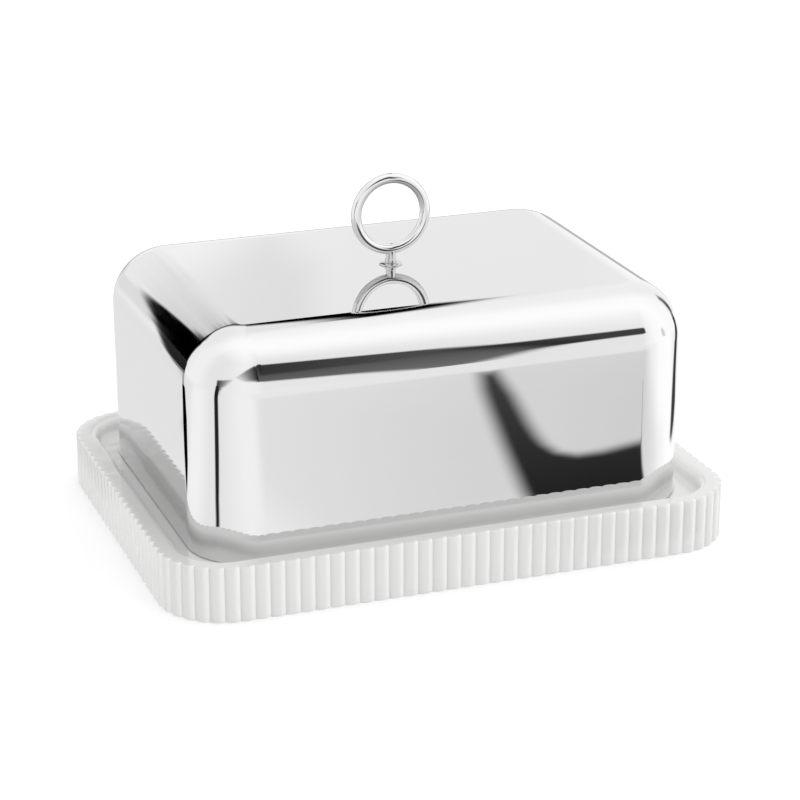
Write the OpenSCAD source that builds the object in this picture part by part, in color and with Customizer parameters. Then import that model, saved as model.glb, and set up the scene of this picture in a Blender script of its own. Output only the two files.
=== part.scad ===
// Butter dish: a reeded glazed dish with a drawn steel lid and a round ring for a handle.
// The origin is the centre of the dish's foot. +X runs along the dish, +Z is up.

/* [Dish] */
// Length of the dish over its reeds
dish_length = 180; // [178:1:200]
// Width of the dish over its reeds
dish_width = 137.5; // [134:0.5:160]
// Height of the dish's rim above the table
dish_height = 16.85; // [15:0.05:22]
// Corner radius of the dish, seen from above
dish_corner = 20.7; // [18:0.1:24]
// Number of reeds all the way round the wall
reed_count = 132; // [100:1:160]
// How far a reed stands out from the grooves beside it
reed_depth = 0.75; // [0.4:0.05:1]
// Depth of the well that the lid stands in
well_depth = 4.6; // [4:0.1:6]
// Thickness of the dish under the well
floor_wall = 5; // [4:0.1:7]

/* [Lid] */
// Length of the lid
lid_length = 156.2; // [140:0.1:160]
// Width of the lid
lid_width = 115.6; // [100:0.1:119]
// Height of the lid's flat top above the table
lid_top = 80; // [65:0.5:95]
// Radius of the lid's upright corners
lid_corner = 18.9; // [17.5:0.1:24]
// Radius where the lid's walls turn into its top
lid_shoulder = 17; // [8:0.5:17]
// Thickness of the lid's sheet
lid_sheet = 0.8; // [0.6:0.1:1.2]

/* [Handle] */
// Outer diameter of the ring
ring_diameter = 25.6; // [22:0.1:32]
// Diameter of the ring's wire
ring_wire = 3.2; // [3.1:0.1:4]
// Height of the ring's underside above the lid
ring_gap = 3.25; // [3:0.05:6]
// Diameter of the neck under the ring
neck_diameter = 3; // [2:0.1:3]
// Diameter of the thread that goes through the lid
thread_diameter = 3; // [3:0.5:4]

/* [Hidden] */
$fn = 96;

// The dish's rim and well: widths are measured inwards from the crests of the reeds
rim_flat = 4.75;
rim_round = 2.2;
well_inset = rim_flat + rim_round;
well_fillet = 1.6;
well_floor = dish_height - well_depth;
reed_shift = -0.6;
reed_facets = 6;

// The hollow under the dish
skirt_wall = 6;
hollow_height = well_floor - floor_wall;
hollow_fillet = min(3, hollow_height / 2);

// How far a cutting shape runs past the face that it cuts
spill = 1;

// The handle, from the lid's top upwards
rosette_diameter = 7.2;
rosette_height = 0.5;
collar_diameter = thread_diameter + 0.6;
collar_height = 1.2;
collar_foot = lid_top + rosette_height;
neck_foot = collar_foot + collar_height;
ring_radius = (ring_diameter - ring_wire) / 2;
ring_centre = lid_top + ring_gap + ring_diameter / 2;

// The fixing, from the lid's underside downwards
hole_radius = thread_diameter / 2 + 0.1;
seal_diameter = 9;
seal_height = 0.8;
seal_top = lid_top - lid_sheet;
washer_diameter = 8;
washer_height = 0.5;
washer_top = seal_top - seal_height;
nut_top = washer_top - washer_height;
nut_flats = 5.5;
nut_corners = nut_flats / cos(30);
nut_hexagon = 2.4;
nut_chamfer = 0.35;
nut_dome = 2.6;
nut_dome_centre = nut_top - 2.9;
nut_bore_depth = 4;
nut_bore_clearance = 0.02;
thread_end = nut_top - 3.5;

china = [0.93, 0.93, 0.92];
steel = [0.80, 0.80, 0.81];
seal_white = [0.90, 0.90, 0.88];

// ---- rounded rectangles ---------------------------------------------------

function toward(angle) = [cos(angle), sin(angle)];

// Centre of corner i: 0 is front right, and the rest follow anticlockwise
function corner_centre(i, length, width, radius) =
    let (x = length / 2 - radius, y = width / 2 - radius)
    [[x, -y], [x, y], [-x, y], [-x, -y]][i % 4];

// Length of the straight side that runs into corner i
function side_length(i, length, width, radius) =
    (i % 2 == 0 ? length : width) - 2 * radius;

// Sweeps a half profile round a rounded rectangle and fills the middle. The profile's x runs
// outwards from the corners' centres to radius or beyond, and its y is the height.
module swept_block(length, width, radius, bottom, top) {
    for (i = [0:3])
        translate(corner_centre(i, length, width, radius))
            rotate(90 * i - 90) {
                rotate_extrude(angle = 90) children();
                rotate([90, 0, 0])
                    linear_extrude(side_length(i, length, width, radius)) children();
            }
    translate([radius - length / 2, radius - width / 2, bottom])
        cube([length - 2 * radius, width - 2 * radius, top - bottom]);
}

module quarter_disc(radius) {
    intersection() {
        circle(radius);
        square(radius);
    }
}

// A block whose top edge is rounded
module domed_block(length, width, radius, bottom, top, edge) {
    swept_block(length, width, radius, bottom, top) {
        union() {
            translate([0, bottom]) square([radius, top - edge - bottom]);
            translate([0, bottom]) square([radius - edge, top - bottom]);
            translate([radius - edge, top - edge]) quarter_disc(edge);
        }
    }
}

// ---- dish -----------------------------------------------------------------

// The reeds follow a line half way between their crests and grooves
reed_line = dish_corner - reed_depth / 2;
corner_arc = reed_line * PI / 2;
reed_lap = 2 * side_length(0, dish_length, dish_width, dish_corner)
    + 2 * side_length(1, dish_length, dish_width, dish_corner) + 4 * corner_arc;
reed_pitch = reed_lap / reed_count;
reed_radius = (pow(reed_pitch / 2, 2) + pow(reed_depth, 2)) / (2 * reed_depth);

// How far a reed's face lies outside the line, at a part of a pitch from its middle
function reed_bulge(part) =
    sqrt(pow(reed_radius, 2) - pow(part * reed_pitch, 2)) - reed_radius + reed_depth / 2;

// Point on the wall at a distance along the line, which starts at the front left corner
function wall_point(along, bulge, i = 0) =
    let (side = side_length(i, dish_length, dish_width, dish_corner), out = reed_line + bulge)
    along <= side
        ? corner_centre(i + 3, dish_length, dish_width, dish_corner)
            + along * toward(90 * i) + out * toward(90 * i - 90)
    : along <= side + corner_arc
        ? corner_centre(i, dish_length, dish_width, dish_corner)
            + out * toward(90 * (i - 1 + (along - side) / corner_arc))
    : wall_point(along - side - corner_arc, bulge, i + 1);

// The first reed stands in the middle of the front, moved by the shift
first_groove = side_length(0, dish_length, dish_width, dish_corner) / 2
    - reed_pitch / 2 + reed_shift;

module reeded_outline() {
    polygon([
        for (reed = [0:reed_count - 1], facet = [0:reed_facets - 1])
            let (part = facet / reed_facets, along = first_groove + (reed + part) * reed_pitch)
            wall_point(along % reed_lap, reed_bulge(part - 0.5))
    ]);
}

// The well opens towards the rim with a rounded lip and has a fillet round its floor
module well() {
    radius = dish_corner - well_inset;
    swept_block(
        dish_length - 2 * well_inset, dish_width - 2 * well_inset, radius,
        well_floor, dish_height + spill
    ) {
        difference() {
            union() {
                translate([0, well_floor]) square([radius, well_depth + spill]);
                translate([radius, dish_height - rim_round]) square([rim_round, rim_round + spill]);
            }
            translate([radius + rim_round, dish_height - rim_round]) circle(rim_round);
            translate([radius - well_fillet, well_floor]) difference() {
                square(well_fillet);
                translate([0, well_fillet]) circle(well_fillet);
            }
        }
    }
}

module base_dish() {
    color(china)
        difference() {
            linear_extrude(dish_height) reeded_outline();
            well();
            domed_block(
                dish_length - 2 * skirt_wall, dish_width - 2 * skirt_wall,
                dish_corner - skirt_wall, -spill, hollow_height, hollow_fillet
            );
        }
}

// ---- lid ------------------------------------------------------------------

module lid_shell() {
    color(steel)
        difference() {
            domed_block(lid_length, lid_width, lid_corner, well_floor, lid_top, lid_shoulder);
            domed_block(
                lid_length - 2 * lid_sheet, lid_width - 2 * lid_sheet, lid_corner - lid_sheet,
                well_floor - spill, lid_top - lid_sheet, lid_shoulder - lid_sheet
            );
            translate([0, 0, lid_top - lid_sheet - spill])
                cylinder(r = hole_radius, h = lid_sheet + 2 * spill);
        }
}

// ---- handle ---------------------------------------------------------------

module ring() {
    translate([0, 0, ring_centre])
        rotate([90, 0, 0])
            rotate_extrude() translate([ring_radius, 0]) circle(ring_wire / 2);
}

module handle_ring() {
    color(steel) ring();
}

// The neck is welded to the ring, and the thread goes down through the lid
module handle_stem() {
    color(steel)
        difference() {
            union() {
                translate([0, 0, neck_foot])
                    cylinder(d = neck_diameter, h = ring_centre - ring_radius - neck_foot);
                translate([0, 0, collar_foot])
                    cylinder(d = collar_diameter, h = collar_height);
                translate([0, 0, thread_end])
                    cylinder(d = thread_diameter, h = collar_foot - thread_end);
            }
            ring();
        }
}

module washer(diameter, height, top) {
    translate([0, 0, top - height])
        difference() {
            cylinder(d = diameter, h = height);
            translate([0, 0, -spill]) cylinder(r = hole_radius, h = height + 2 * spill);
        }
}

module handle_rosette() {
    color(steel) washer(rosette_diameter, rosette_height, collar_foot);
}

// ---- fixing inside the lid ------------------------------------------------

module seal_washer() {
    color(seal_white) washer(seal_diameter, seal_height, seal_top);
}

module steel_washer() {
    color(steel) washer(washer_diameter, washer_height, washer_top);
}

// A domed nut, its dome hanging down, whose hexagon is chamfered towards the dome
module cap_nut() {
    color(steel)
        difference() {
            union() {
                intersection() {
                    translate([0, 0, nut_top - nut_hexagon])
                        cylinder(d = nut_corners, h = nut_hexagon, $fn = 6);
                    translate([0, 0, nut_top - nut_hexagon])
                        cylinder(
                            d1 = nut_flats - nut_chamfer, h = nut_hexagon,
                            d2 = nut_flats - nut_chamfer + 4 * nut_hexagon
                        );
                }
                translate([0, 0, nut_dome_centre])
                    cylinder(r = nut_dome, h = nut_top - nut_dome_centre);
                translate([0, 0, nut_dome_centre]) sphere(nut_dome);
            }
            translate([0, 0, nut_top - nut_bore_depth])
                cylinder(
                    r = thread_diameter / 2 + nut_bore_clearance, h = nut_bore_depth + spill
                );
        }
}

// ---- nodes ----------------------------------------------------------------

base_dish();
lid_shell();
handle_ring();
handle_stem();
handle_rosette();
seal_washer();
steel_washer();
cap_nut();
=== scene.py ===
"""Butter dish: a reeded glazed dish under a mirror-polished steel lid with a ring to lift it by.

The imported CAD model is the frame: its boxes give every place and outer size, and the constants
below give the radii and small details. Lengths are in metres, and MM turns millimetres into them.
"""

import math

import bpy
import numpy as np
from mathutils import Matrix, Vector


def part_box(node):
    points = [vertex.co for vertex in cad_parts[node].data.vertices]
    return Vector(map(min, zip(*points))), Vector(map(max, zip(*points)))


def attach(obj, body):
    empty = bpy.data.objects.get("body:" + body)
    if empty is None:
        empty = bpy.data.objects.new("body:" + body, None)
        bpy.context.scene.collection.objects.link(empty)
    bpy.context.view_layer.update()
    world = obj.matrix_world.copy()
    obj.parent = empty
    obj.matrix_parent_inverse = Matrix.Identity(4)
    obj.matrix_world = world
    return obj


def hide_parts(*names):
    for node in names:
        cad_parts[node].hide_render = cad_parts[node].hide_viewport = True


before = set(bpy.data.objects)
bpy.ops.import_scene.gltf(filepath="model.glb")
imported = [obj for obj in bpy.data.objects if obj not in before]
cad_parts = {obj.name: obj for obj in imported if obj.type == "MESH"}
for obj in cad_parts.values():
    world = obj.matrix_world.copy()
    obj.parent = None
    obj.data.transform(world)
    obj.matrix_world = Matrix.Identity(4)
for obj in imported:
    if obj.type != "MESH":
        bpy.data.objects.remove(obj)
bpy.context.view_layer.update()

MM = 0.001
QUARTER = math.pi / 2

# ---- camera: the photograph's viewing angle -------------------------------------------------

CAMERA_AZIMUTH = math.radians(-20.27)
CAMERA_ELEVATION = math.radians(20.29)
CAMERA_DISTANCE = 0.8078
CAMERA_AIM = Vector((6.65, 9.72, 30.89)) * MM
CAMERA_LENS = 113.73
CAMERA_SENSOR = 36.0

# ---- dish: widths run inwards from the crests of the reeds ----------------------------------

DISH_CORNER = 20.7 * MM
REED_COUNT = 132
REED_DEPTH = 0.75 * MM
REED_SHIFT = -0.6 * MM
REED_STEPS = 8
GROOVE_RADIUS = 0.35 * MM
RIM_EDGE = 0.6 * MM
RIM_FLAT = 4.75 * MM
RIM_ROUND = 2.2 * MM
WELL_DEPTH = 4.6 * MM
WELL_FILLET = 1.6 * MM
FOOT_EDGE = 0.5 * MM
FOOT_INNER_EDGE = 0.4 * MM
FOOT_HEIGHT = 0.05 * MM
SKIRT_WALL = 6 * MM
HOLLOW_HEIGHT = 7.25 * MM
HOLLOW_FILLET = 3 * MM
REEDS_FADE = 1.5 * MM
CENTRE_SCALES = (0.9, 0.6, 0.3)

# The glaze is painted with light and shade on each reed: painted shade down the left flank and
# painted light on the right one, as seen from outside. Places across a reed run from -1 to 1.
SHADE_FLANK_POWER = 1.5
LIGHT_FLANK_RANGE = (0.05, 0.9)
REED_END = 0.99

# ---- lid ------------------------------------------------------------------------------------

LID_CORNER = 18.9 * MM
LID_SHOULDER = 17 * MM
LID_SHEET = 0.8 * MM
LID_CORNER_STEPS = 64
LID_SIDE_STEPS = (24, 16)
SHOULDER_STEPS = 32
EDGE_STEPS = 16
WALL_STEPS = 12
TOP_SHARES = (0.3, 0.6, 0.85, 1.0)
HOLE_RADIUS = 1.6 * MM

# ---- handle and fixing ----------------------------------------------------------------------

RING_STEPS = 256
WIRE_STEPS = 56

# The ring has painted shade and is rougher where it faces down, and most where it also faces the
# finger hole. The ranges are of the surface's direction, and the last is what is left of it on the
# outer side.
SHADE_AND_DULL_BELOW = (-0.2, 0.75)
SHADE_AND_DULL_INWARD = (-0.4, 0.5)
SHADE_AND_DULL_OUTSIDE = 0.3

COLLAR_RADIUS = 1.8 * MM
COLLAR_HEIGHT = 1.2 * MM
COLLAR_EDGE = 0.15 * MM
NECK_RADIUS = 1.5 * MM
NECK_FILLET = 0.15 * MM
WELD_DEPTH = 1.0 * MM
STEM_STEPS = 48
THREAD_RADIUS = 1.5 * MM
THREAD_PITCH = 0.5 * MM
THREAD_RUNOUT = 3 * THREAD_PITCH
THREAD_DEPTH = 0.28 * MM
THREAD_CHAMFER = 0.4 * MM
ROSETTE_CROWN = 0.1 * MM
ROSETTE_EDGE = 0.18 * MM
WASHER_EDGE = 0.12 * MM
SEAL_EDGE = 0.3 * MM
LATHE_STEPS = 96
LATHE_SHARP = 50
NUT_FLATS = 5.5 * MM
NUT_HEXAGON = 2.4 * MM
NUT_CHAMFER = 0.35 * MM
NUT_DOME = 2.6 * MM
NUT_BORE = 1.52 * MM
NUT_BORE_DEPTH = 4 * MM
NUT_STEPS = 72
NUT_HEIGHTS = (0, 0.1, 0.2, 0.3, 0.45, 1.0)


# ---- curves and outlines --------------------------------------------------------------------

def smooth(value, start, end):
    """0 before start and 1 after end, turning smoothly in between."""
    share = np.clip((value - start) / (end - start), 0, 1)
    return share * share * (3 - 2 * share)


def lap_point(length, width, radius, along):
    """The point on a rounded rectangle at a distance along it, and the outward direction there.

    The lap runs anticlockwise, seen from above, from the left end of the straight front.
    """
    x = length / 2 - radius
    y = width / 2 - radius
    centres = ((-x, -y), (x, -y), (x, y), (-x, y))
    arc = radius * QUARTER
    for i in range(4):
        side = 2 * (x, y)[i % 2]
        turn = i * QUARTER
        if along <= side:
            out = np.array((math.sin(turn), -math.cos(turn)))
            run = np.array((math.cos(turn), math.sin(turn)))
            return np.array(centres[i]) + run * along + out * radius, out
        along -= side
        if along <= arc:
            turn += along / radius
            out = np.array((math.sin(turn), -math.cos(turn)))
            return np.array(centres[(i + 1) % 4]) + out * radius, out
        along -= arc
    return lap_point(length, width, radius, along)


def lap_length(length, width, radius):
    return 2 * (length + width) - 8 * radius + 4 * radius * QUARTER


def outline(length, width, radius, distances):
    """Points and outward directions of a rounded rectangle at several distances along it."""
    found = [lap_point(length, width, radius, along) for along in distances]
    return np.array([point for point, out in found]), np.array([out for point, out in found])


def level(points, height):
    """A flat loop of points at one height."""
    return np.column_stack([points, np.full(len(points), height)])


def circle(radius, height, steps, start=0.0):
    angles = start + np.arange(steps) * 2 * math.pi / steps
    return level(radius * np.column_stack([np.cos(angles), np.sin(angles)]), height)


def arc_points(centre, radius, start, end, steps):
    """Points of an arc in a profile, as (across, up), ends included. Angles are in quarter turns."""
    angles = np.linspace(start * QUARTER, end * QUARTER, steps + 1)
    return [(centre[0] + radius * math.cos(a), centre[1] + radius * math.sin(a)) for a in angles]


# ---- meshes ---------------------------------------------------------------------------------

def bridge(first, second):
    """Faces between two loops of point numbers, where one loop may be a multiple of the other."""
    if len(second) == 1:
        return [(a, b, second[0]) for a, b in zip(first, first[1:] + first[:1])]
    if len(first) == 1:
        return [(first[0], b, a) for a, b in zip(second, second[1:] + second[:1])]
    steps = min(len(first), len(second))
    each = (len(first) // steps, len(second) // steps)
    faces = []
    for i in range(steps):
        low = [first[(i * each[0] + k) % len(first)] for k in range(each[0] + 1)]
        high = [second[(i * each[1] + k) % len(second)] for k in range(each[1] + 1)]
        faces.append(tuple(low + high[::-1]))
    return faces


def loft(name, loops, closed=False, normals=None, sharp_angle=None):
    """A skin through a list of loops. Where the profile closes on itself, closed is true."""
    numbers = []
    count = 0
    for loop in loops:
        numbers.append(list(range(count, count + len(loop))))
        count += len(loop)
    pairs = list(zip(numbers, numbers[1:]))
    if closed:
        pairs.append((numbers[-1], numbers[0]))
    faces = [face for first, second in pairs for face in bridge(first, second)]
    mesh = bpy.data.meshes.new(name)
    mesh.from_pydata(np.concatenate(loops).tolist(), [], faces)
    mesh.validate()
    mesh.shade_smooth()
    if sharp_angle is not None:
        mesh.set_sharp_from_angle(angle=math.radians(sharp_angle))
    if normals is not None:
        mesh.normals_split_custom_set_from_vertices(np.concatenate(normals).tolist())
    piece = bpy.data.objects.new(name, mesh)
    bpy.context.scene.collection.objects.link(piece)
    return piece


def lathe(name, profile):
    """A turned ring about the Z axis, from the (radius, height) points of its section."""
    loops = [circle(radius, height, LATHE_STEPS) for radius, height in profile]
    return loft(name, loops, closed=True, sharp_angle=LATHE_SHARP)


def install(piece, node, body, material):
    """Makes a piece stand for a CAD node on its body, with its material."""
    piece.data.materials.append(material)
    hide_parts(node)
    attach(piece, body)


def paint_points(piece, name, values):
    """Gives every point of a piece a value that its material reads by name."""
    attribute = piece.data.attributes.new(name, "FLOAT", "POINT")
    attribute.data.foreach_set("value", np.asarray(values, np.float32).ravel())


def paint_faces(piece, material, chosen):
    """Gives a second material to the faces whose centre and normal the rule chooses."""
    piece.data.materials.append(material)
    second = len(piece.data.materials) - 1
    for face in piece.data.polygons:
        if chosen(face.center, face.normal):
            face.material_index = second


# ---- materials ------------------------------------------------------------------------------

class Material:
    """A node material under construction, with its shader's sockets at hand."""

    def __init__(self, name):
        self.material = bpy.data.materials.new(name)
        self.material.use_nodes = True
        self.nodes = self.material.node_tree.nodes
        self.links = self.material.node_tree.links
        self.shader = self.nodes["Principled BSDF"]
        self.place = self.nodes.new("ShaderNodeTexCoord").outputs["Object"]

    def set(self, values):
        """Sets some of the shader's sockets, by their names."""
        for socket, value in values.items():
            self.shader.inputs[socket].default_value = value

    def stretched(self, scale):
        """Object coordinates scaled by a different amount along each axis."""
        node = self.nodes.new("ShaderNodeMapping")
        node.inputs["Scale"].default_value = scale
        self.links.new(self.place, node.inputs["Vector"])
        return node.outputs["Vector"]

    def noise(self, scale, detail=3.0, place=None):
        node = self.nodes.new("ShaderNodeTexNoise")
        node.inputs["Scale"].default_value = scale
        node.inputs["Detail"].default_value = detail
        self.links.new(place or self.place, node.inputs["Vector"])
        return node.outputs["Fac"]

    def attribute(self, name):
        node = self.nodes.new("ShaderNodeAttribute")
        node.attribute_name = name
        return node.outputs["Fac"]

    def spread(self, value, low, high, start=0.3, end=0.7):
        """Turns a value from start to end into one from low to high."""
        node = self.nodes.new("ShaderNodeMapRange")
        node.inputs["From Min"].default_value = start
        node.inputs["From Max"].default_value = end
        node.inputs["To Min"].default_value = low
        node.inputs["To Max"].default_value = high
        self.links.new(value, node.inputs["Value"])
        return node.outputs["Result"]

    def blend(self, share, first, second):
        """A colour between two, each a tuple or a socket."""
        node = self.nodes.new("ShaderNodeMix")
        node.data_type = "RGBA"
        self.links.new(share, node.inputs["Factor"])
        for socket, colour in ((node.inputs[6], first), (node.inputs[7], second)):
            if isinstance(colour, tuple):
                socket.default_value = (*colour, 1)
            else:
                self.links.new(colour, socket)
        return node.outputs[2]

    def bump(self, height, distance, strength=1.0, under=None):
        node = self.nodes.new("ShaderNodeBump")
        node.inputs["Distance"].default_value = distance
        node.inputs["Strength"].default_value = strength
        self.links.new(height, node.inputs["Height"])
        if under is not None:
            self.links.new(under, node.inputs["Normal"])
        return node.outputs["Normal"]

    def wire(self, socket, value):
        self.links.new(value, self.shader.inputs[socket])


def white_glaze():
    """Glossy white glaze: a little cloudy, with painted shade and painted light on the two flanks of
    a reed.
    """
    made = Material("white_glaze")
    made.set({"Metallic": 0.0, "IOR": 1.52})
    cloud = made.blend(made.noise(45), (0.715, 0.715, 0.71), (0.74, 0.74, 0.735))
    # Painted shade on each reed's left flank and painted light on its right flank
    greyed = made.blend(made.attribute("painted_shade_flank"), cloud, (0.64, 0.64, 0.635))
    whitened = made.blend(made.attribute("painted_light_flank"), greyed, (0.86, 0.86, 0.855))
    made.wire("Base Color", whitened)
    made.wire("Roughness", made.spread(made.noise(120), 0.07, 0.13))
    ripple = made.bump(made.noise(160, 1.0), 0.06 * MM)
    made.wire("Normal", made.bump(made.noise(900, 2.0), 0.004 * MM, under=ripple))
    return made.material


def bare_china():
    """The unglazed foot, wiped clean before firing: matt, finely grained and slightly warm."""
    made = Material("bare_china")
    made.set({"Metallic": 0.0, "IOR": 1.5})
    grain = made.noise(1400, 4.0)
    made.wire("Base Color", made.blend(grain, (0.70, 0.68, 0.64), (0.80, 0.78, 0.74)))
    made.wire("Roughness", made.spread(grain, 0.65, 0.85))
    made.wire("Normal", made.bump(grain, 0.03 * MM))
    return made.material


def mirror_steel():
    """Stainless steel polished to a mirror, with faint buffing lines in its sheen."""
    made = Material("mirror_steel")
    made.set({"Metallic": 1.0})
    buffing = made.noise(60, 3.0, made.stretched((1, 1, 14)))
    made.wire("Base Color", made.blend(buffing, (0.75, 0.75, 0.75), (0.765, 0.765, 0.765)))
    made.wire("Roughness", made.spread(buffing, 0.02, 0.035))
    return made.material


def ring_steel():
    """The ring's steel: polished, but darker with painted shade and rougher where the ring faces
    down and in.
    """
    made = Material("ring_steel")
    made.set({"Metallic": 1.0})
    painted_shade_and_dullness = made.attribute("painted_shade_and_dullness")
    buffing = made.noise(400, 3.0)
    bright = made.blend(buffing, (0.75, 0.75, 0.75), (0.77, 0.77, 0.77))
    # Painted shade: the base colour darkens where the ring faces down and in
    made.wire("Base Color", made.blend(painted_shade_and_dullness, bright, (0.28, 0.28, 0.285)))
    made.wire("Roughness", made.spread(painted_shade_and_dullness, 0.05, 0.2, 0, 1))
    return made.material


def stem_steel():
    """The stem and its rosette: turned steel, a little greyer than the lid."""
    made = Material("stem_steel")
    made.set({"Metallic": 1.0})
    turning = made.noise(900, 2.0, made.stretched((0.1, 0.1, 1)))
    made.wire("Base Color", made.blend(turning, (0.60, 0.60, 0.605), (0.70, 0.70, 0.705)))
    made.wire("Roughness", made.spread(turning, 0.06, 0.12))
    return made.material


def satin_steel():
    """The lid's inside: the drawn and brushed surface, matt along its length."""
    made = Material("satin_steel")
    made.set({"Metallic": 1.0, "Anisotropic": 0.4})
    lines = made.noise(700, 3.0, made.stretched((0.04, 1, 1)))
    made.wire("Base Color", made.blend(lines, (0.56, 0.56, 0.565), (0.66, 0.66, 0.665)))
    made.wire("Roughness", made.spread(lines, 0.22, 0.36))
    made.wire("Normal", made.bump(lines, 0.006 * MM))
    return made.material


def turned_steel():
    """Plain steel of washers and nuts, with fine rings from the lathe."""
    made = Material("turned_steel")
    made.set({"Metallic": 1.0})
    rings = made.nodes.new("ShaderNodeTexWave")
    rings.wave_type = "RINGS"
    rings.rings_direction = "Z"
    rings.inputs["Scale"].default_value = 1500
    rings.inputs["Distortion"].default_value = 0.6
    made.links.new(made.place, rings.inputs["Vector"])
    wear = made.noise(500)
    made.wire("Base Color", made.blend(wear, (0.52, 0.52, 0.53), (0.66, 0.66, 0.67)))
    made.wire("Roughness", made.spread(wear, 0.2, 0.38))
    made.wire("Normal", made.bump(rings.outputs["Fac"], 0.01 * MM, 0.6))
    return made.material


def seal_silicone():
    """Milky silicone, slightly dusty."""
    made = Material("seal_silicone")
    made.set({"Metallic": 0.0, "IOR": 1.41})
    dust = made.noise(800, 4.0)
    made.wire("Base Color", made.blend(dust, (0.70, 0.70, 0.68), (0.80, 0.80, 0.78)))
    made.wire("Roughness", made.spread(dust, 0.4, 0.6))
    made.wire("Normal", made.bump(dust, 0.01 * MM))
    return made.material


# ---- dish -----------------------------------------------------------------------------------

def reed_height(across, pitch):
    """How far a reed's face lies outside the reeds' line, at a distance from its middle."""
    half = pitch / 2
    radius = (half ** 2 + REED_DEPTH ** 2) / (2 * REED_DEPTH)
    middle = radius - REED_DEPTH / 2
    reach = abs(across)
    if reach < half * radius / (radius + GROOVE_RADIUS):
        return math.sqrt(radius ** 2 - across ** 2) - middle
    groove = math.sqrt((radius + GROOVE_RADIUS) ** 2 - half ** 2) - middle
    return groove - math.sqrt(GROOVE_RADIUS ** 2 - (half - reach) ** 2)


def reed_stations(length, width, radius):
    """Distances along the reeds' line, closer together in the grooves, with the face's height
    and the place across the reed, from -1 to 1.
    """
    lap = lap_length(length, width, radius)
    pitch = lap / REED_COUNT
    first = length / 2 - radius + REED_SHIFT
    stations = []
    for reed in range(REED_COUNT):
        for step in range(-REED_STEPS, REED_STEPS):
            across = math.sin(step / REED_STEPS * QUARTER) * pitch / 2
            place = (first + reed * pitch + across) % lap
            stations.append((place, reed_height(across, pitch), 2 * across / pitch))
    return zip(*stations)


def dish_profile(top):
    """The dish's outline in section, as (inset, height, how much of the reeds shows there)."""
    floor = top - WELL_DEPTH
    well = RIM_FLAT + RIM_ROUND
    plain = []
    hollow = (SKIRT_WALL + HOLLOW_FILLET, HOLLOW_HEIGHT - HOLLOW_FILLET)
    plain += [(x, z, 0) for x, z in arc_points(hollow, HOLLOW_FILLET, 1, 2, 8)]
    inner = (SKIRT_WALL - FOOT_INNER_EDGE, FOOT_INNER_EDGE)
    plain += [(x, z, 0) for x, z in arc_points(inner, FOOT_INNER_EDGE, 0, -1, 4)]
    plain.append((FOOT_EDGE + REEDS_FADE, 0, 0))
    outer = (FOOT_EDGE, FOOT_EDGE)
    plain += [(x, z, 1) for x, z in arc_points(outer, FOOT_EDGE, -1, -2, 5)]
    plain += [(0, z, 1) for z in np.linspace(FOOT_EDGE, top - RIM_EDGE, 8)[1:-1]]
    rim = (RIM_EDGE, top - RIM_EDGE)
    plain += [(x, z, 1) for x, z in arc_points(rim, RIM_EDGE, 2, 1, 6)]
    plain.append((RIM_EDGE + REEDS_FADE, top, 0))
    lip = (RIM_FLAT, top - RIM_ROUND)
    plain += [(x, z, 0) for x, z in arc_points(lip, RIM_ROUND, 1, 0, 14)]
    fillet = (well + WELL_FILLET, floor + WELL_FILLET)
    plain += [(x, z, 0) for x, z in arc_points(fillet, WELL_FILLET, 2, 3, 10)]
    return plain


def centre_loops(loop):
    """Ever smaller copies of a flat loop, one point a reed, down to one point in the middle."""
    coarse = loop[::2 * REED_STEPS]
    smaller = [coarse * (scale, scale, 1) for scale in CENTRE_SCALES]
    return smaller + [np.array([(0, 0, loop[0][2])])]


def paint_reeds(piece, name, amount, profile, under, over):
    """Paints a value that follows the reeds, and nothing where the dish is plain."""
    values = [np.zeros(len(loop)) for loop in under]
    values += [amount * share for inset, z, share in profile]
    values += [np.zeros(len(loop)) for loop in over]
    paint_points(piece, name, np.concatenate(values))


def make_dish():
    low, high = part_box("base_dish")
    radius = DISH_CORNER - REED_DEPTH / 2
    length = high.x - low.x - REED_DEPTH
    width = high.y - low.y - REED_DEPTH
    distances, heights, across = map(np.array, reed_stations(length, width, radius))
    points, out = outline(length, width, radius, distances)
    crest = REED_DEPTH / 2
    profile = dish_profile(high.z)
    loops = []
    for inset, z, share in profile:
        offset = crest + share * (heights - crest) - inset
        loops.append(level(points + out * offset[:, None], z))
    under = centre_loops(loops[0])[::-1]
    over = centre_loops(loops[-1])
    piece = loft("reeded_dish", under + loops + over)
    # Painted shade on the left flank of each reed and painted light on its right flank, as seen from
    # outside
    grey = np.clip((crest - heights) / REED_DEPTH, 0, 1) ** SHADE_FLANK_POWER * (across < 0)
    white = smooth(across, *LIGHT_FLANK_RANGE) * (across < REED_END)
    paint_reeds(piece, "painted_shade_flank", grey, profile, under, over)
    paint_reeds(piece, "painted_light_flank", white, profile, under, over)
    install(piece, "base_dish", "dish", white_glaze())

    def is_foot(centre, normal):
        return centre.z < FOOT_HEIGHT and normal.z < -0.9

    paint_faces(piece, bare_china(), is_foot)


# ---- lid ------------------------------------------------------------------------------------

def lid_stations(length, width, radius):
    """Distances along the lid's outline: even steps along each side and round each corner."""
    distances = []
    start = 0.0
    for i in range(4):
        side = (length, width)[i % 2] - 2 * radius
        steps = LID_SIDE_STEPS[i % 2]
        distances += [start + side * k / steps for k in range(steps)]
        start += side
        arc = radius * QUARTER
        distances += [start + arc * k / LID_CORNER_STEPS for k in range(LID_CORNER_STEPS)]
        start += arc
    return distances


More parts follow.
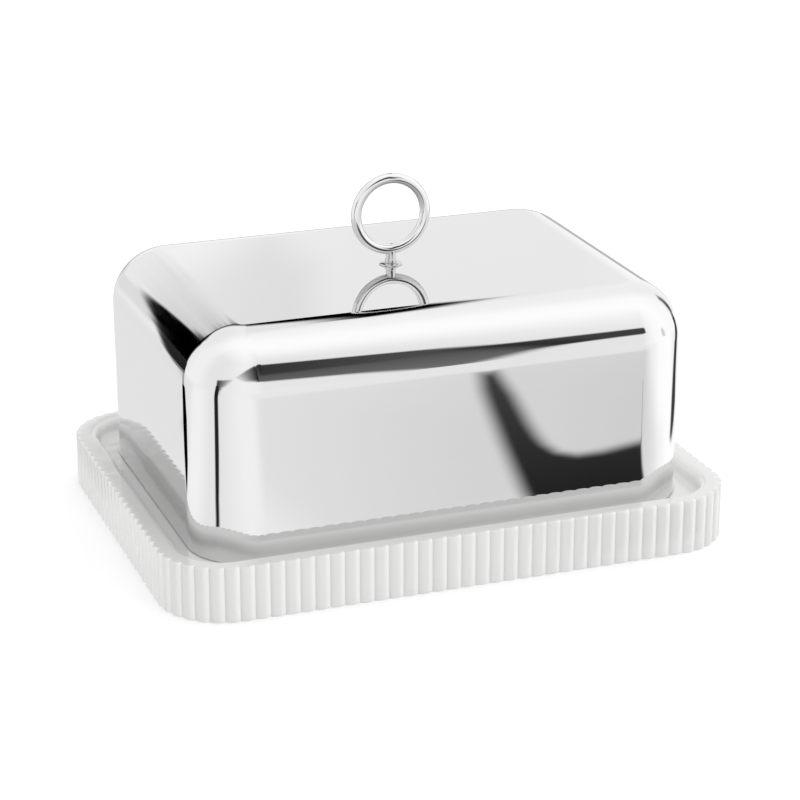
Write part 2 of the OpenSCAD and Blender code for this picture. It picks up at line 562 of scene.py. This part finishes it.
def lid_section(bottom, top):
    """The lid's sheet in section from the hole round to the hole, as (inset, height, across, up).

    The last two are the surface's direction there, so that the mirror's faces join smoothly.
    """
    edge = LID_SHEET / 2
    inner = LID_SHOULDER - LID_SHEET
    centre = (LID_SHOULDER, top - LID_SHOULDER)
    section = []
    for k in range(SHOULDER_STEPS + 1):
        turn = QUARTER * (1 - k / SHOULDER_STEPS)
        across, up = math.cos(turn), math.sin(turn)
        section.append((centre[0] - inner * across, centre[1] + inner * up, -across, -up))
    walls = np.linspace(centre[1], bottom + edge, WALL_STEPS)
    section += [(LID_SHEET, z, -1, 0) for z in walls[1:-1]]
    for k in range(EDGE_STEPS + 1):
        turn = math.pi * k / EDGE_STEPS
        across, up = -math.cos(turn), -math.sin(turn)
        section.append((edge - edge * across, bottom + edge + edge * up, across, up))
    section += [(0, z, 1, 0) for z in walls[::-1][1:-1]]
    for k in range(SHOULDER_STEPS + 1):
        turn = QUARTER * k / SHOULDER_STEPS
        across, up = math.cos(turn), math.sin(turn)
        section.append((centre[0] * (1 - across), centre[1] + centre[0] * up, across, up))
    return section


def toward_circle(loop, radius, share):
    """A loop part of the way from an outline to a circle about the origin."""
    angles = np.arctan2(loop[:, 1], loop[:, 0])
    ring = radius * np.column_stack([np.cos(angles), np.sin(angles)])
    return level(loop[:, :2] * (1 - share) + ring * share, loop[0][2])


def make_lid():
    low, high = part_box("lid_shell")
    length = high.x - low.x
    width = high.y - low.y
    stations = lid_stations(length, width, LID_CORNER)
    points, out = outline(length, width, LID_CORNER, stations)
    loops = []
    normals = []
    for inset, z, across, up in lid_section(low.z, high.z):
        loops.append(level(points - out * inset, z))
        normals.append(np.column_stack([out * across, np.full(len(out), up)]))
    inside = [toward_circle(loops[0], HOLE_RADIUS, share) for share in TOP_SHARES][::-1]
    outside = [toward_circle(loops[-1], HOLE_RADIUS, share) for share in TOP_SHARES]
    down = [np.tile((0, 0, -1), (len(out), 1))] * len(TOP_SHARES)
    above = [np.tile((0, 0, 1), (len(out), 1))] * len(TOP_SHARES)
    piece = loft(
        "polished_lid", inside + loops + outside, closed=True, normals=down + normals + above
    )
    install(piece, "lid_shell", "lid", mirror_steel())
    middle = Vector((0, 0, (low.z + high.z) / 2))
    inner_end = length / 2 - LID_SHEET / 4

    def is_inside(centre, normal):
        return normal.dot(centre - middle) < 0 and abs(centre.x) < inner_end

    paint_faces(piece, satin_steel(), is_inside)


# ---- handle ---------------------------------------------------------------------------------

def make_ring():
    low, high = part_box("handle_ring")
    wire = (high.y - low.y) / 2
    centre = (low + high) / 2
    radius = (high.x - low.x) / 2 - wire
    loops = []
    normals = []
    inner = []
    for i in range(RING_STEPS):
        turn = 2 * math.pi * i / RING_STEPS
        spoke = np.array((math.cos(turn), 0, math.sin(turn)))
        section = circle(1, 0, WIRE_STEPS)
        normal = section[:, :1] * spoke + section[:, 1:2] * np.array((0, 1, 0))
        loops.append(np.array(centre) + spoke * radius + normal * wire)
        normals.append(normal)
        inner.append(smooth(-section[:, 0], *SHADE_AND_DULL_INWARD))
    piece = loft("ring", loops, closed=True, normals=normals)
    # Painted shade, with added roughness, on faces that look down, most on those that also face the
    # hole
    under = smooth(-np.concatenate(normals)[:, 2], *SHADE_AND_DULL_BELOW)
    share = SHADE_AND_DULL_OUTSIDE + (1 - SHADE_AND_DULL_OUTSIDE) * np.concatenate(inner)
    paint_points(piece, "painted_shade_and_dullness", under * share)
    install(piece, "handle_ring", "lid", ring_steel())


def thread_loops(bottom, top):
    """Loops up a threaded shank, from its chamfered end to where the thread has run out."""
    turn = np.arange(STEM_STEPS) / STEM_STEPS
    rise = THREAD_PITCH / 8
    count = int((top - bottom) / rise)
    loops = [np.array([(0, 0, bottom)])]
    for k in range(count + 1):
        z = bottom + (top - bottom) * k / count
        phase = (z / THREAD_PITCH - turn) % 1
        cut = THREAD_DEPTH * np.abs(2 * phase - 1)
        fade = min(1, (top - z) / THREAD_RUNOUT)
        lead = max(0, THREAD_CHAMFER - (z - bottom))
        reach = THREAD_RADIUS - cut * fade - lead
        loops.append(circle(1, z, STEM_STEPS) * np.column_stack([reach, reach, np.ones(STEM_STEPS)]))
    return loops


def make_stem(steel):
    """The threaded shank, the collar that presses on the rosette, and the neck up to the ring."""
    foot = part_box("handle_rosette")[1].z
    top = foot + COLLAR_HEIGHT
    edge = (COLLAR_RADIUS - COLLAR_EDGE, foot + COLLAR_EDGE)
    profile = arc_points(edge, COLLAR_EDGE, -1, 0, 6)
    profile += arc_points((edge[0], top - COLLAR_EDGE), COLLAR_EDGE, 0, 1, 6)
    corner = (NECK_RADIUS + NECK_FILLET, top + NECK_FILLET)
    profile += arc_points(corner, NECK_FILLET, 3, 2, 6)
    profile.append((NECK_RADIUS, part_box("handle_ring")[0].z + WELD_DEPTH))
    loops = thread_loops(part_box("handle_stem")[0].z, foot)
    loops += [circle(r, z, STEM_STEPS) for r, z in profile]
    loops.append(np.array([(0, 0, profile[-1][1])]))
    piece = loft("stem", loops, sharp_angle=40)
    install(piece, "handle_stem", "lid", steel)


def washer_profile(node, bore, edge, crown=0.0):
    """A flat ring with rounded outer edges, its top falling outwards by the crown."""
    low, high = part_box(node)
    radius = (high.x - low.x) / 2
    rim = radius - edge
    profile = [(bore, low.z)]
    profile += arc_points((rim, low.z + edge), edge, -1, 0, 6)
    profile += arc_points((rim, high.z - crown - edge), edge, 0, 1, 6)
    profile += [(bore + (rim - bore) * s, high.z - crown * s ** 2) for s in (0.8, 0.6, 0.4, 0.2, 0)]
    return profile


def make_washers(steel):
    rosette = washer_profile("handle_rosette", HOLE_RADIUS, ROSETTE_EDGE, ROSETTE_CROWN)
    piece = lathe("rosette", rosette)
    install(piece, "handle_rosette", "lid", steel)
    seal = washer_profile("seal_washer", HOLE_RADIUS, SEAL_EDGE)
    piece = lathe("seal_ring", seal)
    install(piece, "seal_washer", "lid", seal_silicone())
    plain = washer_profile("steel_washer", HOLE_RADIUS, WASHER_EDGE)
    piece = lathe("plain_washer", plain)
    install(piece, "steel_washer", "lid", turned_steel())


def make_nut():
    """A domed cap nut, dome down: its hexagon is cut by a chamfer cone towards the dome."""
    low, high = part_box("cap_nut")
    angles = np.arange(NUT_STEPS) * 2 * math.pi / NUT_STEPS
    sector = (angles + math.pi / 6) % (math.pi / 3) - math.pi / 6
    hexagon = NUT_FLATS / 2 / np.cos(sector)
    hexagon = np.roll(hexagon, NUT_STEPS // 12)
    cone = (NUT_FLATS - NUT_CHAMFER) / 2
    ways = np.column_stack([np.cos(angles), np.sin(angles)])
    dome = low.z + NUT_DOME
    seat = high.z - NUT_HEXAGON
    loops = [np.array([(0, 0, low.z)])]
    for across, up in arc_points((0, dome), NUT_DOME, -1, 0, 12)[1:]:
        loops.append(circle(across, up, NUT_STEPS))
    loops.append(circle(NUT_DOME, seat, NUT_STEPS))
    for height in NUT_HEIGHTS:
        z = seat + height * NUT_HEXAGON
        reach = np.minimum(hexagon, cone + 2 * (z - seat))
        loops.append(level(ways * reach[:, None], z))
    loops.append(circle(NUT_BORE, high.z, NUT_STEPS))
    loops.append(circle(NUT_BORE, high.z - NUT_BORE_DEPTH, NUT_STEPS))
    loops.append(np.array([(0, 0, high.z - NUT_BORE_DEPTH)]))
    piece = loft("cap_nut_dome", loops, sharp_angle=25)
    install(piece, "cap_nut", "lid", turned_steel())


# ---- studio ---------------------------------------------------------------------------------
#
# The dish stands on white paper in a tent of white cloth. The polished lid mirrors the tent and a
# mirror-side sheet just above the paper, both with black flags. The camera looks through them.
# The flags lie where the lid turns them into the dark shapes of the photograph's reflections.

TENT_RADIUS = 6.0
FLOOR_RADII = (5.9, 1.0, 0.3)
FLOOR_STEPS = 64
LAMP_RADIUS = 6.1
SHEET_RADII = (5.9, 0.03)
SHEET_RINGS = 360
FLOOR_DROP = -0.02 * MM
SHEET_LIFT = 0.02 * MM

# Directions at which the tent's and the sheet's light is set, in degrees, and where they are closer
AZIMUTHS = np.arange(-180, 180, 0.5)
ELEVATIONS = np.arange(-2, 90, 0.5)
FINE_STEP = 0.1
TENT_FINE = ((-27, 27), (153, 167))
TENT_FINE_HEIGHTS = ((-2, 26),)
SHEET_FINE = ((-42, 27), (153, 167))

# Brightness of the tent by azimuth, 0 being +Y and 90 +X, and of the sheet near the lid
TENT_LIGHT = (
    (-180, 1.12), (-160, 1.14), (-136, 1.07), (-116, 1.02), (-96, 1.03), (-75, 1.14),
    (-50, 1.14), (-34, 1.06), (-14, 1.04), (0, 1.04), (15, 1.10), (19, 1.02), (25, 1.01),
    (31, 1.12), (53, 1.10), (80, 1.25), (110, 1.30), (130, 1.25), (144, 1.15), (155, 1.02),
    (163, 1.03), (180, 1.12),
)
SHEET_LIGHT = (
    (-180, 1.05), (-168, 1.06), (-159, 1.14), (-146, 1.14), (-132, 1.07), (-120, 1.0),
    (-108, 1.03), (-93, 1.15), (-79, 1.14), (-70, 1.02), (-55, 0.97), (-15, 0.96), (40, 1.0),
    (57, 1.2), (63, 1.15), (72, 1.0), (80, 1.05), (91, 1.12), (97, 1.25), (104, 1.3),
    (122, 1.28), (130, 1.16), (138, 1.08), (146, 0.98), (155, 1.03), (180, 1.05),
)
OVERHEAD_LIGHT = 1.28
OVERHEAD_RANGE = (45, 85)
SHEET_RANGE = (0.2, 0.8)

# Flags on the tent: depth (a pair runs from the bottom to the top), softness in degrees, and
# corners as (azimuth, elevation) in degrees
TENT_FLAGS = (
    (1.0, 1.5, ((-26, -3), (-20, -3), (-20, 8), (-12, 20), (-12, 25), (-20, 25), (-25, 22),
                (-27, 12))),
    (0.93, 5, ((-28.7, -3), (-20, -3), (-17, 20), (-10, 24), (-12, 28), (-20, 28), (-28, 23),
               (-29, 12))),
    (0.82, 3, ((-16, 20), (17, 18), (17, 25), (12, 27), (4, 28.5), (-5, 29), (-18, 28))),
    (1.0, 2.5, ((15.6, 17), (15.9, 25), (17.4, 30), (20.8, 36), (23, 41), (25, 46), (27.2, 47),
                (27, 42), (26, 37), (24.6, 29), (22.3, 24.5), (20.3, 17))),
    (0.86, 7, ((59, 23), (66, 23), (67.5, 10), (61, 3), (57.5, 11))),
    (0.80, 6, ((57, 10), (65, 10), (69, 3), (70, -3), (58, -3), (57, 3))),
    ((0.80, 0.96), 1.6, ((172, 14.5), (164.5, 13.6), (163.4, 10.4), (162.4, 7.8), (161.4, 3),
                        (160.2, -3), (159.6, -3), (158.9, 2), (158.3, 6), (157.6, 10),
                        (156.6, 13), (155.6, 14), (155.8, 29), (156, 35), (157.6, 41),
                        (159, 46), (166, 47), (171, 45), (174, 42), (175, 20))),
    (0.55, 7, ((160, 25), (160, 44), (166, 43), (169, 36), (168, 25))),
    (0.94, 3, ((147.5, 15), (157, 14), (157, 29), (153, 26), (148, 24))),
    (0.97, 2.5, ((-117, -3), (-111, -3), (-111.5, 3), (-116, 5))),
    (0.36, 5, ((105.5, -3), (106, 3), (108.5, 8), (111, 10), (113.5, 8), (114, 3), (112.5, -3))),
)

# Soft shades, each made of nested flags: their number, depth, softness, belly, hinge and common
# edge. The belly says how far the lower corner lies from the hinge's first end to the tip, across
# and up.
TENT_FANS = (
    (9, 0.30, 5, (0.65, 0.25), ((173.2, 15), (173.2, 44.5)),
     ((176, 44.3), (184, 42), (194, 38), (204, 32), (214, 24.5))),
    (10, 0.24, 4, (0.6, 0.5), ((-117, -4), (-113, -4), (-113, 13)),
     ((-114, 13.5), (-123, 15.5), (-132, 18), (-142, 20.5))),
)

# How the nested flags crowd towards the hinge
FAN_POWER = 1.5

# What the left shoulder and the top mirror: only the shades reach in here
TENT_WINDOW = (
    (-23.6, -3), (-24, -0.7), (-23.7, 3.2), (-23.2, 5.1), (-22.6, 6.9), (-21.8, 8.9),
    (-20.6, 11.7), (-19.5, 14.2), (-18.6, 16.1), (-17.4, 18.4), (-14, 21.4), (-10, 23.8),
    (-5, 24.9), (0, 25.3), (5, 24.8), (10, 23.3), (15.5, 19.9), (30, 19.8), (30, -3),
)
WINDOW_SOFTNESS = 0.5
TENT_SHADES = (
    (0.13, 2.5, ((-26, -3), (-26, 8.2), (-6, 8.6), (-6, -3))),
    (0.13, 1.6, ((-24, 14), (-18.3, 14.9), (-16.2, 17.3), (-13.6, 19.3), (-9.4, 21.7),
                 (-5.2, 22.8), (-0.8, 23.3), (7.7, 22), (14.4, 18.3), (15.6, 17.7), (16.8, 17),
                 (18, 18), (18, 30), (-24, 30))),
    (0.30, 3.0, ((-20, 16), (-14, 21.2), (-10, 23.7), (-5, 24.8), (0, 25.2), (5, 24.8),
                 (10, 23.6), (15, 21), (15, 30), (-24, 30))),
)

# Flags on the sheet: depth, softness in millimetres, and corners as (x, y) in millimetres
SHEET_FLAGS = (
    ((0.93, 0.985), 9, ((38, -80), (43, -110), (53, -151), (62, -186), (66.5, -203), (72.5, -220),
                        (79.5, -220), (75.5, -194), (69.5, -166), (67.5, -154), (66.8, -146),
                        (68, -138), (73, -133.5), (82, -133.5), (101, -138), (95, -114),
                        (90, -80))),
    (0.55, 2.5, ((100.5, -136), (126.5, -190), (128.5, -190), (103, -136))),
    (0.08, 60, ((-50, -80), (-40, -240), (160, -240), (160, -80))),
    (0.10, 90, ((-20, -80), (20, -190), (80, -240), (170, -230), (140, -80))),
    (0.04, 30, ((-84, -45), (-84, 250), (-90, 700), (-420, 620), (-146, 100), (-124, 10),
                (-116, -45))),
    (0.13, 150, ((-300, 700), (-2586, 5303), (-617, 5868), (-60, 740))),
    (1.0, 4, ((-106, 24), (-109.5, 66), (-114.5, 93), (-125.5, 120), (-138, 142), (-172, 128),
              (-158, 76), (-132, 43))),
    (0.6, 14, ((-125, 118), (-150, 160), (-200, 268), (-240, 250), (-160, 110))),
    (0.75, 7, ((-201, 284), (-283, 477), (-354, 637), (-1228, 2660), (-2395, 5375),
               (-3060, 5100), (-234, 246))),
    (0.92, 7, ((-232, 358), (-283, 477), (-354, 637), (-1228, 2660), (-2395, 5375),
               (-3000, 5100), (-272, 316))),
    (0.98, 5, ((-120, -62.5), (-132, -66.5), (-148, -70.5), (-190.5, -85), (-236, -101.5),
               (-5180, -2010), (-4930, -2640), (-228, -123.5), (-184, -102), (-145, -81),
               (-130, -75), (-120, -70.5))),
    (0.6, 90, ((-345, -180), (-5000, -2550), (-4650, -3050), (-650, -370))),
    (0.36, 120, ((1000, -290), (5700, -1650), (5600, -2300), (1000, -410))),
    (0.5, 60, ((-60, 190), (-300, 2500), (-350, 5850), (3000, 5000), (1600, 2500), (330, 240))),
    (0.95, 14, ((146, -20), (155, 3), (167, 21), (199, 33), (224, 51), (330, 115), (437, 170),
                (645, 300), (1091, 540), (2813, 1560), (5300, 2900), (5500, 2050),
                (2900, 1060), (1150, 370), (680, 190), (470, 100), (378, 60), (300, 32),
                (241, 9), (217, -5), (188, -18), (168, -25), (152, -32))),
)

# Light on rough surfaces from each side, brighter overhead, and from the lid's own walls
LAMP_LIGHT = (
    (-180, 0.95), (-135, 0.70), (-90, 0.60), (0, 1.0), (90, 1.27), (135, 1.15), (180, 0.95),
)
LAMP_RANGE = (0, 80)
OVERHEAD_GAIN = 0.35
GAIN_RANGE = (35, 70)
WALL_LIGHT = (
    (-180, 0.9), (-150, 0.75), (-90, 0.5), (-30, 0.75), (0, 0.8), (90, 1.0), (180, 0.9),
)
WALL_GAP = 0.3 * MM
WALL_LIGHT_STEPS = 120


def edge_distance(across, up, corners):
    """How far points lie inside an outline, and below 0 for those outside."""
    inside = np.zeros(across.shape, bool)
    away = np.full(across.shape, np.inf)
    for (x0, y0), (x1, y1) in zip(corners, corners[1:] + corners[:1]):
        run = (x1 - x0, y1 - y0)
        share = ((across - x0) * run[0] + (up - y0) * run[1]) / (run[0] ** 2 + run[1] ** 2)
        share = np.clip(share, 0, 1)
        away = np.minimum(away, np.hypot(across - x0 - share * run[0], up - y0 - share * run[1]))
        if y0 != y1:
            inside ^= ((y0 > up) != (y1 > up)) & (across < x0 + (up - y0) * run[0] / run[1])
    return np.where(inside, away, -away)


def flag_cover(across, up, depth, softness, corners):
    """How much light a flag takes away at each point."""
    low, high = np.min(corners, 0), np.max(corners, 0)
    near = (across > low[0] - softness) & (across < high[0] + softness)
    near &= (up > low[1] - softness) & (up < high[1] + softness)
    taken = np.zeros(across.shape)
    inside = edge_distance(across[near], up[near], corners)
    ends = depth if isinstance(depth, tuple) else (depth, depth)
    depths = np.interp(up[near], (low[1], high[1]), ends)
    taken[near] = depths * smooth(inside, -softness / 2, softness / 2)
    return taken


def fan(count, depth, softness, belly, hinge, edge):
    """Nested flags that share a hinge and reach further and further along a common edge."""
    places = np.linspace(0, 1, len(edge))
    flags = []
    for share in (np.arange(1, count + 1) / count) ** FAN_POWER:
        passed = tuple(point for point, place in zip(edge, places) if place < share)
        tip = tuple(np.interp(share, places, values) for values in zip(*edge))
        corner = tuple(h + (t - h) * b for h, t, b in zip(hinge[0], tip, belly))
        flags.append((depth, softness, hinge + passed + (tip, corner)))
    return flags


def tent_light(azimuth, elevation):
    """The tent's light, with its flags everywhere but in the window."""
    clear = np.ones(azimuth.shape)
    flags = list(TENT_FLAGS)
    for shade in TENT_FANS:
        flags += fan(*shade)
    for depth, softness, corners in flags:
        turn = corners[0][0] + (azimuth - corners[0][0] + 180) % 360 - 180
        clear *= 1 - flag_cover(turn, elevation, depth, softness, corners)
    clear += (1 - clear) * flag_cover(azimuth, elevation, 1, WINDOW_SOFTNESS, TENT_WINDOW)
    for depth, softness, corners in TENT_SHADES:
        clear *= 1 - flag_cover(azimuth, elevation, depth, softness, corners)
    overhead = smooth(elevation, *OVERHEAD_RANGE)
    round_light = np.interp(azimuth, *zip(*TENT_LIGHT))
    return clear * (round_light * (1 - overhead) + OVERHEAD_LIGHT * overhead)


def sheet_light(x, y):
    """The sheet's light, with its flags. x and y are in metres."""
    azimuth = np.degrees(np.arctan2(x, y))
    far = smooth(np.hypot(x, y), *SHEET_RANGE)
    near_light = np.interp(azimuth, *zip(*SHEET_LIGHT))
    light = near_light * (1 - far) + np.interp(azimuth, *zip(*TENT_LIGHT)) * far
    for depth, softness, corners in SHEET_FLAGS:
        light = light * (1 - flag_cover(x / MM, y / MM, depth, softness, corners))
    return light


def unseen(thing, mirrored):
    """The camera looks through a thing. Either mirrors see it or rough surfaces are lit by it."""
    thing.visible_camera = False
    thing.visible_glossy = mirrored
    thing.visible_diffuse = not mirrored
    thing.visible_shadow = False


def glowing(thing, name, light):
    """Gives a mesh light of its own, of the strength given for each of its points."""
    paint_points(thing, "light", light)
    made = Material(name)
    made.nodes.remove(made.shader)
    glow = made.nodes.new("ShaderNodeEmission")
    made.links.new(made.attribute("light"), glow.inputs["Strength"])
    made.links.new(glow.outputs["Emission"], made.nodes["Material Output"].inputs["Surface"])
    made.material.cycles.emission_sampling = "NONE"
    thing.data.materials.append(made.material)


def finer(steps, ranges):
    """Even steps with finer ones in some ranges."""
    fine = [np.arange(start, end, FINE_STEP) for start, end in ranges]
    return np.unique(np.round(np.concatenate([steps, *fine]), 3))


def make_dome(name, radius, azimuths, elevations, light_at, mirrored):
    """A dome of glowing cloth."""
    azimuth, elevation = np.meshgrid(azimuths, elevations)
    turn, rise = np.radians(azimuth), np.radians(elevation)
    points = np.stack([np.sin(turn) * np.cos(rise), np.cos(turn) * np.cos(rise), np.sin(rise)], -1)
    dome = loft(name, [ring * radius for ring in points] + [np.array([(0, 0, radius)])])
    light = light_at(azimuth, elevation)
    glowing(dome, f"{name}_cloth", np.append(light.ravel(), light[-1].mean()))
    unseen(dome, mirrored)


def lamp_light(azimuth, elevation):
    side = np.interp(azimuth, *zip(*LAMP_LIGHT))
    share = smooth(elevation, *LAMP_RANGE)
    overhead = 1 + OVERHEAD_GAIN * smooth(elevation, *GAIN_RANGE)
    return side * (1 - share) + overhead * share


def make_tent():
    azimuths = finer(AZIMUTHS, TENT_FINE)
    elevations = finer(ELEVATIONS, TENT_FINE_HEIGHTS)
    make_dome("tent", TENT_RADIUS, azimuths, elevations, tent_light, mirrored=True)


def make_lamp():
    azimuths = np.arange(-180, 180, 5)
    elevations = np.arange(-2, 90, 4)
    make_dome("lamp", LAMP_RADIUS, azimuths, elevations, lamp_light, mirrored=False)


def make_sheet():
    """The sheet that the lid mirrors in place of the paper."""
    turn = np.radians(finer(AZIMUTHS, SHEET_FINE))
    ways = np.stack([np.sin(turn), np.cos(turn)], -1)
    radii = np.geomspace(*SHEET_RADII, SHEET_RINGS)
    sheet = loft("mirror_sheet", [level(ways * radius, SHEET_LIFT) for radius in radii])
    points = np.array([vertex.co for vertex in sheet.data.vertices])
    glowing(sheet, "mirror_side", sheet_light(points[:, 0], points[:, 1]))
    unseen(sheet, mirrored=True)


def make_wall_light():
    """The light that the polished walls throw on the dish, as a glowing sheet that hugs them."""
    low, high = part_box("lid_shell")
    length = high.x - low.x + 2 * WALL_GAP
    width = high.y - low.y + 2 * WALL_GAP
    radius = LID_CORNER + WALL_GAP
    distances = np.linspace(0, lap_length(length, width, radius), WALL_LIGHT_STEPS, endpoint=False)
    points, out = outline(length, width, radius, distances)
    heights = (high.z - LID_SHOULDER, low.z + WALL_GAP)
    sheet = loft("wall_light", [level(points, height) for height in heights])
    azimuth = np.degrees(np.arctan2(out[:, 0], out[:, 1]))
    glowing(sheet, "wall_glow", np.tile(np.interp(azimuth, *zip(*WALL_LIGHT)), 2))
    unseen(sheet, mirrored=False)


def make_floor():
    loops = [circle(radius, FLOOR_DROP, FLOOR_STEPS) for radius in FLOOR_RADII]
    floor = loft("floor", loops + [np.array([(0, 0, FLOOR_DROP)])])
    paper = Material("white_paper")
    paper.set({"Metallic": 0.0, "Roughness": 0.9, "Specular IOR Level": 0.2})
    paper.set({"Emission Color": (1, 1, 1, 1), "Emission Strength": 0.2})
    paper.wire("Base Color", paper.blend(paper.noise(3), (0.84, 0.84, 0.84), (0.86, 0.86, 0.86)))
    floor.data.materials.append(paper.material)
    floor.visible_glossy = False


def make_world():
    world = bpy.data.worlds.new("white")
    world.use_nodes = True
    world.node_tree.nodes["Background"].inputs["Color"].default_value = (1, 1, 1, 1)
    bpy.context.scene.world = world
    bpy.context.scene.view_settings.view_transform = "Standard"


def make_camera():
    lens = bpy.data.cameras.new("camera")
    lens.lens = CAMERA_LENS
    lens.sensor_width = CAMERA_SENSOR
    camera = bpy.data.objects.new("camera", lens)
    flat = math.cos(CAMERA_ELEVATION)
    back = Vector((
        math.sin(CAMERA_AZIMUTH) * flat,
        -math.cos(CAMERA_AZIMUTH) * flat,
        math.sin(CAMERA_ELEVATION),
    ))
    turn = (-back).to_track_quat("-Z", "Y").to_matrix().to_4x4()
    camera.matrix_world = Matrix.Translation(CAMERA_AIM + back * CAMERA_DISTANCE) @ turn
    bpy.context.scene.collection.objects.link(camera)
    bpy.context.scene.camera = camera


# ---- the scene ------------------------------------------------------------------------------

make_camera()
make_world()
make_tent()
make_lamp()
make_sheet()
make_wall_light()
make_floor()
make_dish()
make_lid()
make_ring()
stem_metal = stem_steel()
make_stem(stem_metal)
make_washers(stem_metal)
make_nut()
